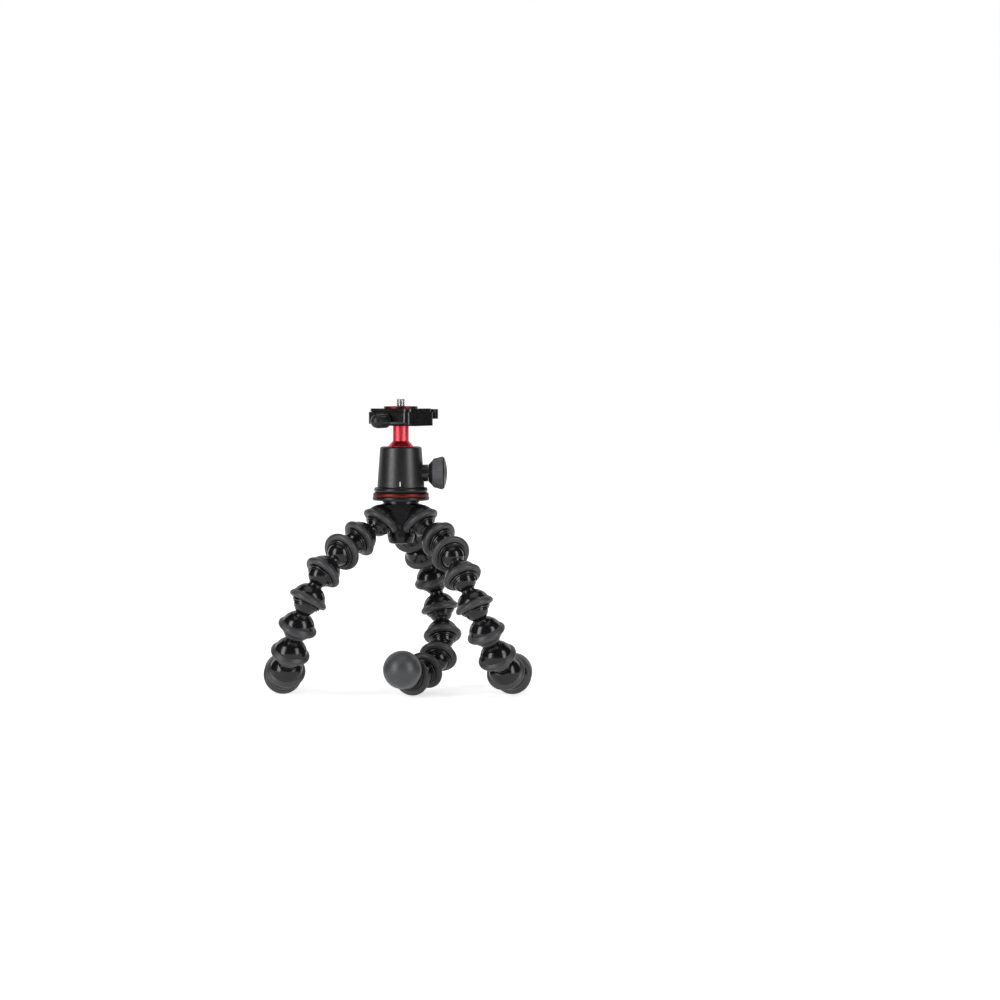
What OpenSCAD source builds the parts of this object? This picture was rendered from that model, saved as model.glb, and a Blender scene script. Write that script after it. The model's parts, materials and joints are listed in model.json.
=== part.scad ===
// Flexible leg tripod with a ball head and a quick release clamp.
// Millimetres, +Z up, the floor at z = 0. The legs are posed as if wrapped
// around a thick branch, which is left out.

/* [Leg] */
// Distance from one leg ball to the next
link_pitch = 23; // [22:0.5:25]
// Diameter of a leg ball
leg_ball_d = 18; // [17:0.5:18.5]
// Diameter of the stalk behind each ball
neck_d = 10.2; // [9:0.2:10.4]
// Outside diameter of the rubber grip ring
grip_d = 29; // [28:0.5:30]
// Width of the rubber grip ring along the leg
grip_w = 5.8; // [5.4:0.1:6]
// Diameter of the domed rubber foot
foot_d = 28.4; // [27.5:0.5:29]

/* [Hub] */
// Lean of each leg socket, measured from straight down
socket_lean = 36; // [34:1:38]
// Distance of a socket's centre from the middle axis
socket_out = 18.6; // [18.2:0.2:19.6]
// Depth of a socket's centre below the top of the hub
socket_drop = 17.7; // [17:0.1:18.5]
// Diameter of the hub's top
hub_top_d = 27.6; // [26:0.5:30]
// Diameter of the cap under the hub
base_cap_d = 20.4; // [20:0.2:22]
// Full height of the hub
hub_h = 32.5; // [31.5:0.5:35]

/* [Ball head] */
// Diameter of the pan base
pan_d = 42.5; // [40:0.5:45]
// Height of the pan base, ring and disc together
pan_h = 9.6; // [9.4:0.1:11]
// Diameter of the housing at its bottom
housing_d = 35; // [34.5:0.5:36]
// Diameter of the housing at its top
housing_top_d = 31.2; // [30.8:0.2:33]
// Height of the housing
housing_h = 30.1; // [29.8:0.1:32]
// Diameter of the head's ball
ball_d = 20; // [19.4:0.2:20.4]
// Diameter of the red stem
stem_d = 11.7; // [11:0.1:12]
// Length of the stem from the ball's centre to the clamp
stem_l = 18.5; // [18:0.5:22]
// Diameter of the lock knob
knob_d = 24.9; // [23:0.5:26]

/* [Clamp and plate] */
// Turn of the clamp about the stem
clamp_turn = -35; // [-45:5:-30]
// Length of the clamp along the dovetail
clamp_l = 38; // [36:1:42]
// Distance from the middle to each outer side of the clamp
clamp_half = 17; // [16.8:0.2:18]
// Diameter of the clamp knob
clamp_knob_d = 10.6; // [10:0.2:11]
// Length of the clamp knob
clamp_knob_l = 14; // [11:0.5:15]
// Diameter of the red ring on the plate
plate_ring_d = 25; // [24:0.5:27]

/* [Hidden] */
$fn = 64;

black = [0.05, 0.05, 0.055];
satin = [0.09, 0.09, 0.1];
rubber = [0.16, 0.16, 0.165];
red = [0.6, 0.05, 0.07];
steel = [0.7, 0.7, 0.72];
glass = [0.75, 0.9, 0.5];

// Clearances: a sliding fit, a pressed seat, and free air between moving pieces
slide_gap = 0.15;
seat_gap = 0.05;
air_gap = 0.3;
eps = 0.01;

// Leg pose, whole degrees at each ball: [sideways, in the plane of the socket]
left_bends = [[-6, -25], [-20, -5], [17, 18], [10, 23], [16, 20], [5, 9], [20, 16], [23, 12],
    [9, 11]];
right_bends = [[12, -23], [21, -2], [-14, 21], [-16, 20], [-18, 18], [-9, 9], [-17, 17],
    [-21, 15], [-3, 14]];
back_bends = [[20, -18], [0, 9], [3, 26], [1, 27], [1, 24], [-6, 22], [-10, 22], [7, 14],
    [11, 25]];
left_leg = [210, left_bends];
right_leg = [330, right_bends];
back_leg = [90, back_bends];
legs = [left_leg, right_leg, back_leg];
links = 8;

// Leg joint, measured along the leg from the centre of the ball it holds
leg_ball_r = leg_ball_d / 2;
neck_r = neck_d / 2;
socket_r = leg_ball_r + slide_gap;
skirt_wall = 0.75;
skirt_r = socket_r + skirt_wall;
skirt_end = 2.4;
lip_round = 1;
lip_mid = 0.4;
groove_wall = 1.15;
groove_r = socket_r + groove_wall;
groove_start = 0.9;
grip_back = 3.3;
grip_seat_wall = 1.85;
grip_seat_r = socket_r + grip_seat_wall;
grip_root = 1;
grip_tip_r = 2.3;
grip_tip_out = grip_d / 2 - grip_tip_r;
grip_tip_shift = 0.4;
grip_shoulder_rise = 1.6;
grip_shoulder_out = grip_tip_out + grip_shoulder_rise;
grip_shoulder_back = 1.2;
grip_step = 0.3;
dome_wall = 1.6;
dome_r = grip_seat_r + dome_wall;
dome_mid = 2.8;
dome_back = 13.4;
grip_mid = link_pitch - grip_back + grip_tip_shift;
neck_l = link_pitch - dome_back;
collar_step = 0.8;
collar_r = neck_r + collar_step;
collar_w = 0.6;
ball_flat = 7;

// Foot, measured along the leg from its own ball
foot_r = foot_d / 2;
foot_centre = 20;
foot_back = 7.5;
foot_core_r = 8.4;
foot_core_neck_r = 6.4;
foot_core_start = foot_centre - foot_back;
foot_core_end = 21;
foot_core_step = 16;

// Stand position: feet on the floor, the box of the whole stand centred on the axis
function turn_x(a) = [[1, 0, 0, 0], [0, cos(a), -sin(a), 0], [0, sin(a), cos(a), 0],
    [0, 0, 0, 1]];
function turn_y(a) = [[cos(a), 0, sin(a), 0], [0, 1, 0, 0], [-sin(a), 0, cos(a), 0],
    [0, 0, 0, 1]];
function turn_z(a) = [[cos(a), -sin(a), 0, 0], [sin(a), cos(a), 0, 0], [0, 0, 1, 0],
    [0, 0, 0, 1]];
function shift(v) = [[1, 0, 0, v[0]], [0, 1, 0, v[1]], [0, 0, 1, v[2]], [0, 0, 0, 1]];
function bend(b) = turn_y(b[1]) * turn_x(b[0]);
function socket_frame(azimuth) =
    turn_z(azimuth) * shift([socket_out, 0, -socket_drop]) * turn_y(180 - socket_lean);
function joint_frame(leg, k) = k == 1
    ? socket_frame(leg[0]) * bend(leg[1][0])
    : joint_frame(leg, k - 1) * shift([0, 0, link_pitch]) * bend(leg[1][k - 1]);
function axis_part(frame, i) = frame[i][2];
function along(frame, t, i) = frame[i][3] + t * axis_part(frame, i);
function grip_reach(frame, i) = grip_tip_out * sqrt(1 - pow(axis_part(frame, i), 2)) + grip_tip_r;
function grip_low(leg, k, i) = let (frame = joint_frame(leg, k))
    along(frame, grip_mid, i) - grip_reach(frame, i);
function grip_high(leg, k, i) = let (frame = joint_frame(leg, k))
    along(frame, grip_mid, i) + grip_reach(frame, i);
function foot_mid(leg, i) = along(joint_frame(leg, links + 1), foot_centre, i);
function low(i) = min([for (leg = legs) each concat([for (k = [1:links]) grip_low(leg, k, i)],
    [foot_mid(leg, i) - foot_r])]);
function high(i) = max([for (leg = legs) each concat([for (k = [1:links]) grip_high(leg, k, i)],
    [foot_mid(leg, i) + foot_r])]);
stand = [-(low(0) + high(0)) / 2, -(low(1) + high(1)) / 2, -low(2)];

// Hub, measured from the top of the hub
hub_top_r = hub_top_d / 2;
hub_lip_h = 1.6;
hub_groove = 0.8;
hub_panel_in = 0.4;
hub_panel = hub_top_r - hub_panel_in;
hub_shoulder_r = 23.6;
hub_shoulder_z = 5.4;
hub_shoulder_h = 2.8;
base_cap_r = base_cap_d / 2;
hub_rim = 0.5;
hub_rim_drop = 3.3;
hub_rim_h = 2.2;
hub_rim_top = socket_drop + hub_rim_drop;
hub_rim_low = hub_rim_top + hub_rim_h;
base_drop = 9.3;
base_cap_top = -socket_drop - base_drop;
base_cap_h = hub_h + base_cap_top;
base_cap_taper = 0.7;
base_cap_low_r = base_cap_r - base_cap_taper;
base_cap_round = min(2.2, base_cap_h / 2);
base_plug_r = 4;
base_plug_h = 1.6;
stud_r = 4.1;
stud_low = -16;
stud_hex_r = 6;
stud_hex_h = 4;
stud_top = 4.4;

// Pan, measured up from the top of the hub
pan_r = pan_d / 2;
flange_h = 2.6;
flange_round = 1.1;
trim_h = 2.9;
trim_step = 0.4;
trim_r = pan_r - trim_step;
pan_core_r = 17;
pan_disc_z = flange_h + trim_h + 2 * slide_gap;
pan_disc_step = 1.25;
pan_disc_r = pan_r - pan_disc_step;
pan_bolt_r = 4.5;
pan_bolt_head_r = 8;
pan_bolt_head_h = 3.8;
scale_marks = 24;
scale_mark_w = 0.5;
scale_mark_h = 0.9;
scale_mark_depth = 0.3;

// Housing
housing_z = pan_h + air_gap;
housing_r = housing_d / 2;
housing_top_r = housing_top_d / 2;
housing_top_z = housing_z + housing_h;
housing_round = 1.6;
floor_h = 2.5;
chamber_r = 12;
chamber_roof = 6.1;
chamber_top = housing_top_z - chamber_roof;
collar_out = 13;
ball_r = ball_d / 2;
ball_sink = 3;
ball_z = housing_top_z - ball_sink;
stem_r = stem_d / 2;
flare_h = 7.2;
flare_slope = 1.07;
flare_over = 1;
index_w = 0.9;
index_h = 3.4;
index_depth = 0.3;
index_rise = 1;

// Lock knob, measured out from the middle axis
knob_rise = 10.3;
knob_z = housing_z + knob_rise;
knob_r = knob_d / 2;
boss_r = 6.4;
boss_out = 20.2;
boss_in = 11;
knob_in = boss_out + air_gap;
cone_out = 23.4;
grip_end = 31.6;
knob_rubber = 3.6;
knob_core_r = knob_r - knob_rubber;
cone_step = 0.6;
cone_r = knob_core_r + cone_step;
grip_nose = 0.9;
grip_nose_step = 1.7;
grip_nose_r = knob_r - grip_nose_step;
grip_edge = 0.6;
cap_out = 34.6;
cap_step = 0.35;
cap_r = knob_r - cap_step;
cap_side = 0.6;
cap_rise = cap_out - grip_end - cap_side;
cap_dome_r = (cap_r * cap_r + cap_rise * cap_rise) / (2 * cap_rise);
knob_ribs = 30;
knob_rib_r = 0.5;
knob_rib_depth = 0.25;
rib_from = cone_out + grip_nose + grip_edge;
rib_to = grip_end - 2 * grip_edge;
grip_taper = atan((knob_r - grip_nose_r) / (grip_end - grip_edge - cone_out - grip_nose));
rib_from_r = grip_nose_r + grip_edge * tan(grip_taper);
lock_screw_r = 3;
lock_screw_in = 8.6;
lock_screw_out = 29;
shoe_r = 3.4;
shoe_in = 3.5;
shoe_out = lock_screw_in - seat_gap;
shoe_tip_r = 1.6;
seat_out = chamber_r - air_gap;
seat_lift = 0.4;
seat_low = knob_z + shoe_r + seat_lift;
seat_drop = 3.5;
seat_high = ball_z - seat_drop;

// Pan lock, on the far side of the housing
pan_lock_turn = 105;
pan_lock_rise = 2.1;
pan_lock_z = housing_z + floor_h + pan_lock_rise;
pan_lock_screw_r = 1.6;
pan_lock_tip = pan_bolt_head_r + air_gap;
pan_lock_gap = 0.5;
pan_lock_in = housing_r + pan_lock_gap;
pan_lock_out = 27;
pan_lock_r = 5.6;
pan_lock_cone = 2;
pan_lock_edge = 1;
pan_lock_ribs = 12;
pan_lock_rib_r = 0.8;
pan_lock_rib_in = pan_lock_in + pan_lock_cone + pan_lock_edge / 2;

// Clamp, measured up from the top of the hub
clamp_z = ball_z + stem_l;
clamp_base_h = 6.4;
clamp_floor = clamp_z + clamp_base_h;
jaw_lift = 1.4;
jaw_bottom = clamp_z + jaw_lift;
jaw_h = 3.9;
jaw_top = clamp_floor + jaw_h;
jaw_wall = 3.1;
dovetail_foot = 0.6;
dovetail_low = clamp_floor + dovetail_foot;
dovetail_wide = clamp_half - jaw_wall;
dovetail_narrow = dovetail_wide - (jaw_top - dovetail_low);
base_front = 9;
jaw_gap = 0.5;
jaw_back = base_front + jaw_gap;
clamp_corner = 4;
clamp_edge = 1.6;
clamp_bolt_r = 2.5;
clamp_bolt_head_r = 4.4;
clamp_bolt_head_h = 3.2;
clamp_bolt_depth = 9;
clamp_screw_rise = 3.9;
clamp_screw_z = clamp_z + clamp_screw_rise;
clamp_screw_r = 1.5;
clamp_screw_end = 0.8;
clamp_screw_in = clamp_bolt_head_r + clamp_screw_end;
clamp_knob_r = clamp_knob_d / 2;
knob_neck_r = 3.4;
knob_neck_l = 1.8;
clamp_knob_in = clamp_half + air_gap;
clamp_knob_ribs = 14;
clamp_knob_rib_r = 0.7;
clamp_knob_rib_start = 1;
clamp_knob_dome = 4;
clamp_knob_edge = 0.4;
clamp_knob_dome_in = 2;
pin_r = 1.2;
pin_off = 13;
pin_in = 4;
pin_cover = 1;
pin_seat = clamp_half - pin_cover;

// Plate
plate_gap = 0.2;
plate_low = clamp_floor + plate_gap;
plate_flange_low = jaw_top + plate_gap;
plate_flange_h = 2.3;
plate_top = plate_flange_low + plate_flange_h;
plate_inset = 1.5;
plate_half = clamp_half - plate_inset;
plate_corner = 5;
plate_ring_h = 1.6;
plate_ring_r = plate_ring_d / 2;
plate_ring_w = 2.2;
plate_ring_in = plate_ring_r - plate_ring_w;
pad_r = plate_ring_in - seat_gap;
pad_top = plate_top + plate_ring_h;

// Bubble level, on a round lug beside the plate
lug_r = 4;
lug_x = clamp_l / 2 - lug_r;
lug_y = plate_half + air_gap + lug_r;
lug_rise = 5;
lug_low = clamp_z + lug_rise;
lug_drop = 0.6;
lug_top = plate_top - lug_drop;
lug_web = 3.5;
lug_root = dovetail_wide + air_gap;
vial_r = 2.6;
vial_h = 2.4;
vial_sink = 0.4;

// Camera screw, a quarter inch standard size, with a thin neck that keeps it in the plate
camera_screw_d = 6.35;
camera_screw_r = camera_screw_d / 2;
camera_screw_up = 5.5;
camera_screw_tip = pad_top + camera_screw_up;
camera_screw_edge = 0.5;
camera_neck_step = 0.45;
camera_neck_r = camera_screw_r - camera_neck_step;
camera_neck_over = 0.4;
camera_neck_top = pad_top + camera_neck_over;
screw_head_r = 7;
screw_head_lift = 0.5;
screw_head_low = plate_low + screw_head_lift;
screw_head_h = 2.4;
screw_slot_w = 1.6;
screw_slot_h = 1.2;
thread_pitch = 1.27;
thread_depth = 0.35;
threads = 3;

// Profiles, drawn right of the axis with the axis pointing up
module band(inner, outer, from, to) {
    translate([inner, from]) square([outer - inner, to - from]);
}

// One socket with its dome, ring seat and rounded lip, its ball at the origin
module socket_outline() {
    intersection() {
        translate([0, -dome_mid]) circle(r = dome_r);
        band(0, dome_r, -dome_back, -grip_back - grip_w / 2);
    }
    band(0, grip_seat_r, -grip_back - grip_w / 2 - grip_root, -groove_start);
    band(0, groove_r, -groove_start - grip_root, lip_mid);
    translate([skirt_r, lip_mid]) circle(r = lip_round);
    intersection() {
        circle(r = skirt_r);
        band(0, skirt_r, 0, skirt_end);
    }
}

// The ball, stalk and small collar at the start of a link or foot
module ball_outline() {
    intersection() {
        circle(r = leg_ball_r);
        band(0, leg_ball_r, -ball_flat, leg_ball_r);
    }
    band(0, neck_r, 0, neck_l);
    band(0, collar_r, neck_l - collar_w, neck_l + collar_w);
}

// The rubber ring, or the room for it in the hub when a gap is added around it
module grip_outline(gap) {
    inner = grip_seat_r + seat_gap - gap;
    half = grip_w / 2 - seat_gap + gap;
    translate([0, -grip_back]) {
        polygon([[inner, -half], [dome_r - grip_step + gap, -half],
            [grip_shoulder_out + gap, -grip_shoulder_back], [grip_tip_out, half], [inner, half]]);
        intersection() {
            translate([grip_tip_out, grip_tip_shift]) circle(r = grip_tip_r + gap);
            band(inner, grip_d, -half, half);
        }
    }
}

module link_body() {
    rotate_extrude() difference() {
        union() {
            ball_outline();
            translate([0, link_pitch]) socket_outline();
        }
        translate([0, link_pitch]) circle(r = socket_r);
    }
}

module grip_ring() {
    rotate_extrude() grip_outline(0);
}

module leg_link(leg, k) {
    translate(stand) multmatrix(joint_frame(leg, k)) {
        color(black) link_body();
        color(rubber) translate([0, 0, link_pitch]) grip_ring();
    }
}

module leg_foot(leg) {
    translate(stand) multmatrix(joint_frame(leg, links + 1))
        color(black) rotate_extrude() {
            ball_outline();
            band(0, foot_core_neck_r, neck_l, foot_core_step);
            band(0, foot_core_r, foot_core_step, foot_core_end);
        }
}

module leg_foot_pad(leg) {
    translate(stand) multmatrix(joint_frame(leg, links + 1))
        color(rubber) rotate_extrude() difference() {
            intersection() {
                translate([0, foot_centre]) circle(r = foot_r);
                band(0, foot_r, foot_core_start, foot_centre + foot_r);
            }
            band(0, foot_core_neck_r + seat_gap, foot_core_start - eps, foot_core_step);
            band(0, foot_core_r + seat_gap, foot_core_step - seat_gap, foot_core_end + seat_gap);
        }
}

module left_link_1() { leg_link(left_leg, 1); }
module left_link_2() { leg_link(left_leg, 2); }
module left_link_3() { leg_link(left_leg, 3); }
module left_link_4() { leg_link(left_leg, 4); }
module left_link_5() { leg_link(left_leg, 5); }
module left_link_6() { leg_link(left_leg, 6); }
module left_link_7() { leg_link(left_leg, 7); }
module left_link_8() { leg_link(left_leg, 8); }
module left_foot() { leg_foot(left_leg); }
module left_foot_pad() { leg_foot_pad(left_leg); }
module right_link_1() { leg_link(right_leg, 1); }
module right_link_2() { leg_link(right_leg, 2); }
module right_link_3() { leg_link(right_leg, 3); }
module right_link_4() { leg_link(right_leg, 4); }
module right_link_5() { leg_link(right_leg, 5); }
module right_link_6() { leg_link(right_leg, 6); }
module right_link_7() { leg_link(right_leg, 7); }
module right_link_8() { leg_link(right_leg, 8); }
module right_foot() { leg_foot(right_leg); }
module right_foot_pad() { leg_foot_pad(right_leg); }
module back_link_1() { leg_link(back_leg, 1); }
module back_link_2() { leg_link(back_leg, 2); }
module back_link_3() { leg_link(back_leg, 3); }
module back_link_4() { leg_link(back_leg, 4); }
module back_link_5() { leg_link(back_leg, 5); }
module back_link_6() { leg_link(back_leg, 6); }
module back_link_7() { leg_link(back_leg, 7); }
module back_link_8() { leg_link(back_leg, 8); }
module back_foot() { leg_foot(back_leg); }
module back_foot_pad() { leg_foot_pad(back_leg); }

// Hub
module at_sockets() {
    for (leg = legs) multmatrix(socket_frame(leg[0])) children();
}

// The hub's middle: a round lip over three flat panels, one between each two sockets
module hub_crown() {
    rotate_extrude() band(0, hub_top_r, -hub_lip_h, 0);
    intersection() {
        rotate_extrude() polygon([[0, -hub_lip_h / 2], [hub_top_r - hub_groove, -hub_lip_h / 2],
            [hub_top_r - hub_groove, -hub_lip_h - hub_groove], [hub_shoulder_r, -hub_shoulder_z],
            [hub_shoulder_r, -hub_shoulder_z - hub_shoulder_h],
            [base_cap_r + hub_rim, -hub_rim_top], [base_cap_r + hub_rim, -hub_rim_low],
            [base_cap_r, -hub_rim_low - hub_rim], [base_cap_r, base_cap_top], [0, base_cap_top]]);
        translate([0, 0, -hub_h]) rotate([0, 0, back_leg[0]])
            cylinder(r = 2 * hub_panel, h = hub_h, $fn = len(legs));
    }
}

module socket_cup() {
    rotate_extrude() socket_outline();
}

// Room for one grip ring, cut from the hub's middle
module grip_room() {
    rotate_extrude() grip_outline(seat_gap);
}

// Room for the ball and for the stalk as it swings
module ball_room() {
    rotate_extrude() {
        intersection() {
            circle(r = socket_r);
            band(0, socket_r, -socket_r, socket_r);
        }
        band(0, socket_r + air_gap, skirt_end, leg_ball_r + lip_round);
    }
}

module stud_solid(gap) {
    translate([0, 0, stud_low - gap]) cylinder(r = stud_hex_r + gap, h = stud_hex_h + 2 * gap, $fn = 6);
    translate([0, 0, stud_low]) cylinder(r = stud_r + gap, h = stud_top + gap - stud_low);
}

module base_plug(gap) {
    translate([0, 0, base_cap_top - eps])
        cylinder(r = base_plug_r + gap, h = base_plug_h + gap + eps);
}

module hub_body() {
    color(black) translate(stand) difference() {
        union() {
            hub_crown();
            at_sockets() socket_cup();
        }
        at_sockets() grip_room();
        at_sockets() ball_room();
        stud_solid(seat_gap);
        base_plug(seat_gap);
    }
}

module hub_grip_rings() {
    color(rubber) translate(stand) at_sockets() grip_ring();
}

module hub_base_cap() {
    color(black) translate(stand) {
        rotate_extrude() polygon([[0, base_cap_top], [base_cap_r, base_cap_top],
            [base_cap_low_r, -hub_h + base_cap_round],
            [base_cap_low_r - base_cap_round / 4, -hub_h + base_cap_round / 3],
            [base_cap_low_r - base_cap_round, -hub_h], [0, -hub_h]]);
        base_plug(0);
    }
}

module head_stud() {
    color(steel) translate(stand) stud_solid(0);
}

// Pan
module pan_base() {
    color(satin) translate(stand) difference() {
        rotate_extrude() {
            band(0, pan_r - flange_round, 0, flange_h);
            band(0, pan_core_r, 0, pan_disc_z);
            intersection() {
                translate([pan_r - flange_h, flange_h / 2]) circle(r = flange_h);
                band(0, pan_r, 0, flange_h);
            }
        }
        cylinder(r = stud_r + seat_gap, h = stud_top + seat_gap);
    }
}

module pan_trim_ring() {
    color(red) translate(stand) rotate_extrude() {
        band(pan_core_r + seat_gap, trim_r - trim_h / 3, flange_h, flange_h + trim_h);
        intersection() {
            translate([trim_r - trim_h, flange_h + trim_h / 2]) circle(r = trim_h);
            band(pan_core_r + seat_gap, trim_r, flange_h, flange_h + trim_h);
        }
    }
}

module scale_mark() {
    translate([pan_disc_r - scale_mark_depth, -scale_mark_w / 2, pan_h - scale_mark_h])
        cube([pan_disc_r, scale_mark_w, scale_mark_h]);
}

module pan_disc() {
    color(satin) translate(stand) difference() {
        rotate_extrude() {
            band(pan_bolt_r + seat_gap, pan_disc_r - flange_round, pan_disc_z, pan_h);
            intersection() {
                translate([pan_disc_r - flange_h, (pan_disc_z + pan_h) / 2]) circle(r = flange_h);
                band(pan_bolt_r + seat_gap, pan_disc_r, pan_disc_z, pan_h);
            }
        }
        for (i = [1:scale_marks]) rotate([0, 0, i * 360 / scale_marks]) scale_mark();
    }
}

module pan_bolt() {
    color(steel) translate(stand) {
        translate([0, 0, pan_disc_z])
            cylinder(r = pan_bolt_r, h = housing_z + floor_h + air_gap - pan_disc_z);
        translate([0, 0, housing_z + floor_h + air_gap])
            cylinder(r = pan_bolt_head_r, h = pan_bolt_head_h - air_gap);
    }
}

// Head
module housing_outline() {
    difference() {
        union() {
            polygon([[0, housing_z], [housing_r, housing_z], [housing_r, housing_z + floor_h],
                [housing_top_r, housing_top_z - housing_round],
                [housing_top_r - housing_round, housing_top_z - housing_round], [0, housing_top_z]]);
            band(0, housing_top_r - housing_round, housing_top_z - floor_h, housing_top_z);
            translate([housing_top_r - housing_round - seat_gap, housing_top_z - housing_round - seat_gap])
                circle(r = housing_round + seat_gap);
        }
        band(0, pan_bolt_r + slide_gap, housing_z - eps, housing_z + floor_h);
        band(0, chamber_r, housing_z + floor_h, chamber_top);
        band(0, collar_out + seat_gap, chamber_top, housing_top_z + eps);
    }
}

module along_x(from) {
    translate([from, 0, knob_z]) rotate([0, 90, 0]) children();
}

module at_pan_lock(from) {
    rotate([0, 0, pan_lock_turn]) translate([from, 0, pan_lock_z]) rotate([0, 90, 0]) children();
}

module head_housing() {
    color(satin) translate(stand) difference() {
        union() {
            rotate_extrude() housing_outline();
            difference() {
                along_x(boss_in) cylinder(r = boss_r, h = boss_out - boss_in);
                translate([0, 0, housing_z]) cylinder(r = chamber_r, h = housing_h);
            }
        }
        along_x(0) cylinder(r = lock_screw_r + slide_gap, h = boss_out + eps);
        along_x(0) cylinder(r = shoe_r + slide_gap, h = chamber_r + eps);
        at_pan_lock(0) cylinder(r = pan_lock_screw_r + slide_gap, h = housing_r + eps);
        translate([-index_w / 2, -housing_r - index_depth, housing_z + index_rise])
            cube([index_w, 2 * index_depth, index_h]);
    }
}

module ball_collar() {
    color(satin) translate(stand) rotate_extrude() difference() {
        band(0, collar_out, chamber_top, housing_top_z);
        translate([0, ball_z]) circle(r = ball_r + slide_gap);
    }
}

module ball_seat() {
    color(rubber) translate(stand) rotate_extrude() difference() {
        band(0, seat_out, seat_low, seat_high);
        translate([0, ball_z]) circle(r = ball_r + slide_gap);
    }
}

// Keeps the ball below the cone that leads into the stem
module flare_outline() {
    out = ball_r + flare_over;
    polygon([[0, -out], [out, -out], [out, flare_h - flare_slope * (out - stem_r)],
        [stem_r, flare_h], [0, flare_h]]);
}

module ball_stem() {
    color(red) translate(stand) difference() {
        rotate_extrude() translate([0, ball_z]) {
            intersection() {
                circle(r = ball_r);
                flare_outline();
            }
            band(0, stem_r, 0, stem_l);
        }
        translate([0, 0, clamp_z - clamp_bolt_depth])
            cylinder(r = clamp_bolt_r + seat_gap, h = clamp_bolt_depth + eps);
    }
}

module knob_outline() {
    polygon([[0, knob_in], [boss_r, knob_in], [cone_r, cone_out], [knob_core_r, cone_out],
        [knob_core_r, grip_end], [cap_r - grip_edge, grip_end], [cap_r, grip_end + cap_side],
        [0, grip_end + cap_side]]);
    intersection() {
        translate([0, cap_out - cap_dome_r]) circle(r = cap_dome_r);
        band(0, cap_r, grip_end + cap_side - eps, cap_out);
    }
}

module lock_knob() {
    color(satin) translate(stand) difference() {
        along_x(0) rotate_extrude() knob_outline();
        along_x(knob_in - eps)
            cylinder(r = lock_screw_r + seat_gap, h = lock_screw_out - knob_in + seat_gap);
    }
}

module lock_knob_grip() {
    color(rubber) translate(stand) along_x(0) difference() {
        rotate_extrude() polygon([[knob_core_r + seat_gap, cone_out], [cone_r, cone_out],
            [grip_nose_r, cone_out + grip_nose], [knob_r, grip_end - grip_edge],
            [knob_r - grip_edge, grip_end], [knob_core_r + seat_gap, grip_end]]);
        for (i = [1:knob_ribs]) rotate([0, 0, i * 360 / knob_ribs])
            translate([rib_from_r + knob_rib_r - knob_rib_depth, 0, rib_from])
                rotate([0, grip_taper, 0]) cylinder(r = knob_rib_r, h = rib_to - rib_from);
    }
}

module lock_screw() {
    color(steel) translate(stand) along_x(lock_screw_in)
        cylinder(r = lock_screw_r, h = lock_screw_out - lock_screw_in);
}

module lock_shoe() {
    color(steel) translate(stand) along_x(0) rotate_extrude()
        polygon([[0, shoe_in], [shoe_tip_r, shoe_in], [shoe_r, shoe_in + shoe_r - shoe_tip_r],
            [shoe_r, shoe_out], [0, shoe_out]]);
}

module pan_lock_knob() {
    color(satin) translate(stand) difference() {
        union() {
            at_pan_lock(pan_lock_tip)
                cylinder(r = pan_lock_screw_r, h = pan_lock_out - pan_lock_tip - pan_lock_edge);
            at_pan_lock(0) rotate_extrude() polygon([[0, pan_lock_in],
                [pan_lock_r - pan_lock_cone, pan_lock_in], [pan_lock_r, pan_lock_in + pan_lock_cone],
                [pan_lock_r, pan_lock_out - pan_lock_edge],
                [pan_lock_r - pan_lock_edge, pan_lock_out], [0, pan_lock_out]]);
        }
        for (i = [1:pan_lock_ribs]) at_pan_lock(pan_lock_rib_in)
            rotate([0, 0, i * 360 / pan_lock_ribs]) translate([pan_lock_r + pan_lock_rib_r / 2, 0, 0])
                cylinder(r = pan_lock_rib_r, h = pan_lock_out);
    }
}

// Clamp, drawn with the dovetail along X and the knob on the -Y side
module at_clamp() {
    translate(stand) rotate([0, 0, clamp_turn]) children();
}

module rounded(length, half_front, half_back, corner) {
    hull() for (x = [-1, 1]) {
        translate([x * (length / 2 - corner), half_back - corner]) circle(r = corner);
        translate([x * (length / 2 - corner), corner - half_front]) circle(r = corner);
    }
}

module along_dovetail(length) {
    rotate([90, 0, 90]) translate([0, 0, -length / 2]) linear_extrude(length) children();
}

module from_knob(from, x) {
    translate([x, from, clamp_screw_z]) rotate([-90, 0, 0]) children();
}

module base_section() {
    polygon([[-base_front, clamp_z], [clamp_half - clamp_edge, clamp_z],
        [clamp_half, clamp_z + clamp_edge], [clamp_half, jaw_top], [dovetail_narrow, jaw_top],
        [dovetail_wide, dovetail_low], [dovetail_wide, clamp_floor], [-base_front, clamp_floor]]);
}

module jaw_section() {
    polygon([[-clamp_half + clamp_edge, jaw_bottom], [-jaw_back, jaw_bottom],
        [-jaw_back, clamp_floor], [-dovetail_wide, clamp_floor], [-dovetail_wide, dovetail_low],
        [-dovetail_narrow, jaw_top], [-clamp_half, jaw_top], [-clamp_half, jaw_bottom + clamp_edge]]);
}

module plate_section() {
    wide = dovetail_wide - slide_gap;
    narrow = dovetail_narrow - slide_gap;
    polygon([[-wide, plate_low], [wide, plate_low], [wide, dovetail_low - slide_gap],
        [narrow, jaw_top - slide_gap], [narrow, plate_top], [-narrow, plate_top],
        [-narrow, jaw_top - slide_gap], [-wide, dovetail_low - slide_gap]]);
}

module level_lug() {
    translate([lug_x, lug_y, lug_low]) cylinder(r = lug_r, h = lug_top - lug_low);
    translate([lug_x - lug_web, lug_root, lug_low])
        cube([2 * lug_web, lug_y - lug_root, jaw_top - lug_low]);
}

module at_vial() {
    translate([lug_x, lug_y, lug_top - vial_h - vial_sink]) children();
}

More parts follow.
